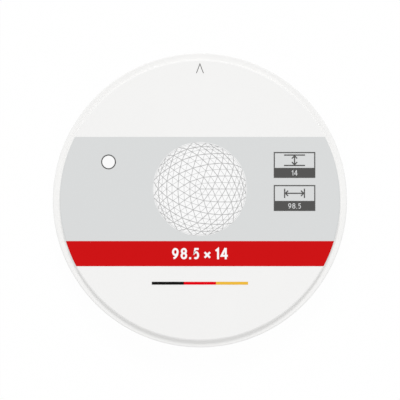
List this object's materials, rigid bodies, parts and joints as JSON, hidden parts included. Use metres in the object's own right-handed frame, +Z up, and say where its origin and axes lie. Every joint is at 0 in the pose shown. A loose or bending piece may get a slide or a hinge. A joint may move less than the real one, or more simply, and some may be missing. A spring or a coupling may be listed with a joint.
{
  "type": "dental milling disc",
  "caption": "Flat round ceramic blank with a raised core, a lower collar round it for clamping, and a printed upper face; crowns and bridges are milled from it.",
  "frame": {"origin": "centre of the plain underside, on the disc's axis", "axes": "+Z up along the disc's axis, out of the printed face; +Y to the orientation mark; +X to the right of the print"},
  "size_m": [0.0984, 0.0984, 0.0142],
  "materials": {
    "chalk_ceramic": "chalky matt",
    "grey_ink": "matt print",
    "line_ink": "matt print",
    "red_ink": "matt print",
    "black_ink": "matt print",
    "bright_red_ink": "matt print",
    "gold_ink": "matt print",
    "dark_ink": "matt print",
    "white_ink": "matt print"
  },
  "bodies": {
    "root": {"milling_blank": "chalk_ceramic", "grey_field": "grey_ink", "red_band": "red_ink", "stripe_black": "black_ink", "stripe_red": "bright_red_ink", "stripe_gold": "gold_ink", "thickness_box": "dark_ink", "diameter_box": "dark_ink", "drawing_ground": "white_ink", "drawing_lines": "line_ink", "orientation_mark": "dark_ink"}
  },
  "joints": []
}
